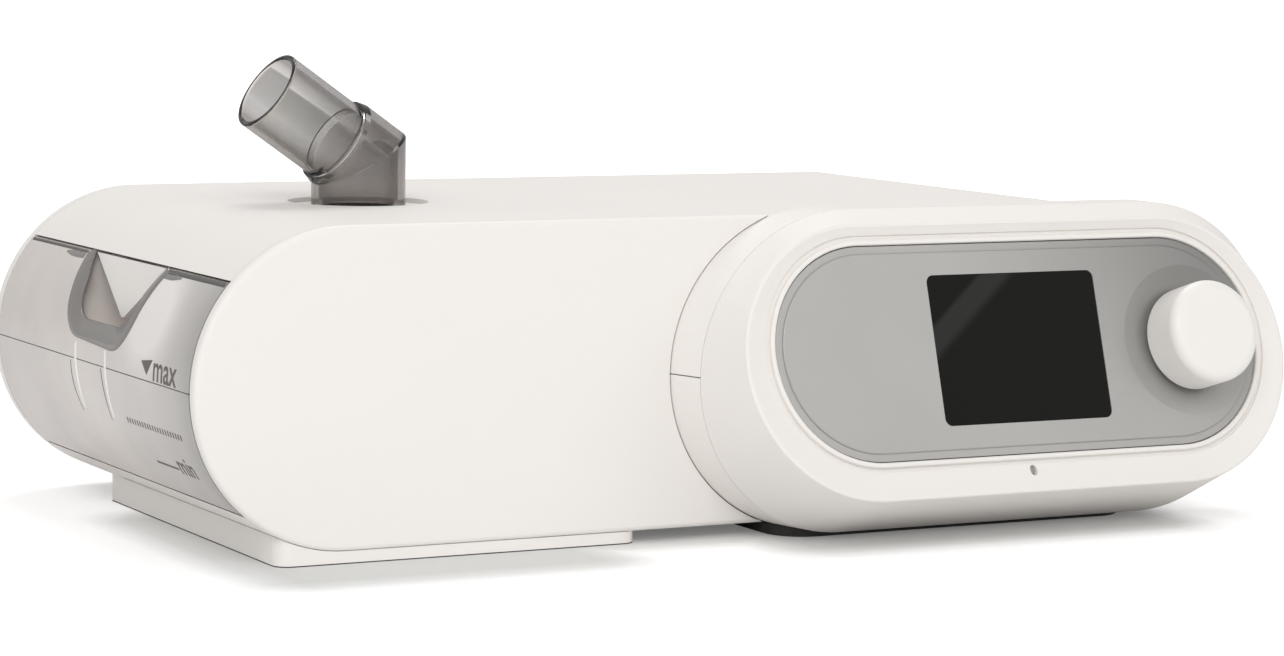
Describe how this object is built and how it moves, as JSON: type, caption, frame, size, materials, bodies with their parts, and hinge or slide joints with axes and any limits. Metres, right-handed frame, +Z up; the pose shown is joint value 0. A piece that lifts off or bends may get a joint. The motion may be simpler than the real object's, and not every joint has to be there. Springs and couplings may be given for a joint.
{
  "type": "cpap machine",
  "caption": "Bedside CPAP breathing machine with a slide-out clear water tank, a swivelling smoke-clear outlet elbow, a tilted control pod with display and a push-and-turn knob.",
  "frame": {"origin": "middle of the footprint box, on the table under the feet", "axes": "+X to the right seen from the front, +Y to the back, +Z up; the control pod faces -Y"},
  "size_m": [0.307, 0.1972, 0.121],
  "materials": {
    "white_shell": "fine satin moulded",
    "white_knob": "satin moulded",
    "grey_panel": "satin painted",
    "display_black": "polished",
    "sensor_window": "polished",
    "smoke_clear": "clear smoke-grey moulded",
    "tank_clear": "clear moulded",
    "dark_rubber": "matte",
    "grey_silicone": "matte",
    "steel": "brushed",
    "heater_metal": "turned",
    "liner_grey": "moulded",
    "black_plastic": "moulded",
    "blower_grey": "moulded",
    "motor_metal": "coated",
    "board_green": "solder mask",
    "filter_foam": "open foam"
  },
  "bodies": {
    "housing": {"upper_housing": "white_shell", "lower_housing": "white_shell", "front_fascia": "white_shell", "rear_cover": "white_shell", "housing_screws": "steel", "humidifier_base": "white_shell", "rubber_feet": "dark_rubber", "pod_foot": "dark_rubber", "humidifier_bay": "liner_grey", "heater_plate": "heater_metal", "heater_insulator": "liner_grey", "outlet_seal": "grey_silicone", "inlet_seal": "grey_silicone", "blower_lower": "blower_grey", "blower_upper": "blower_grey", "blower_motor": "motor_metal", "blower_mounts": "grey_silicone", "air_filter": "filter_foam", "power_socket": "black_plastic", "main_board": "board_green", "board_screws": "steel", "front_bezel": "white_shell", "light_sensor_lens": "sensor_window", "control_panel": "grey_panel", "display_window": "display_black", "lcd_module": "motor_metal", "control_board": "board_green", "encoder_body": "black_plastic"},
    "elbow": {"outlet_elbow": "smoke_clear", "elbow_o_ring": "grey_silicone"},
    "tank": {"water_tub": "tank_clear", "tank_base_plate": "steel", "tank_gasket": "grey_silicone", "tank_lid": "tank_clear", "latch_pin": "steel"},
    "latch": {"latch_tab": "white_shell"},
    "fan": {"impeller": "blower_grey", "motor_shaft": "steel"},
    "filter_lid": {"filter_cover": "white_shell"},
    "knob_stem": {"encoder_plunger": "black_plastic"},
    "knob": {"encoder_shaft": "steel", "control_knob": "white_knob"}
  },
  "joints": [
    {"name": "elbow_swivel", "type": "hinge", "parent": "housing", "child": "elbow", "pos_m": [-0.0793, 0.02121, 0.0815], "axis": [0, 0, 1], "continuous": true},
    {"name": "tank_slide", "type": "slide", "parent": "housing", "child": "tank", "axis": [-1, 0, 0], "range_m": [0, 0.12]},
    {"name": "latch_press", "type": "hinge", "parent": "tank", "child": "latch", "pos_m": [-0.13947, 0.01901, 0.06692], "axis": [0, -1, 0], "range_deg": [0, 8], "stiffness_Nm_per_rad": 0.05},
    {"name": "fan_spin", "type": "hinge", "parent": "housing", "child": "fan", "pos_m": [-0.0015, 0.03501, 0.0423], "axis": [0, 0, 1], "continuous": true},
    {"name": "filter_pull", "type": "slide", "parent": "housing", "child": "filter_lid", "axis": [0, 1, 0], "range_m": [0, 0.014]},
    {"name": "knob_push", "type": "slide", "parent": "housing", "child": "knob_stem", "axis": [0, 0.9558, -0.294], "range_m": [0, 0.001], "stiffness_N_per_m": 900},
    {"name": "knob_turn", "type": "hinge", "parent": "knob_stem", "child": "knob", "pos_m": [0.11335, -0.08352, 0.05], "axis": [0, -0.9558, 0.294], "continuous": true}
  ]
}
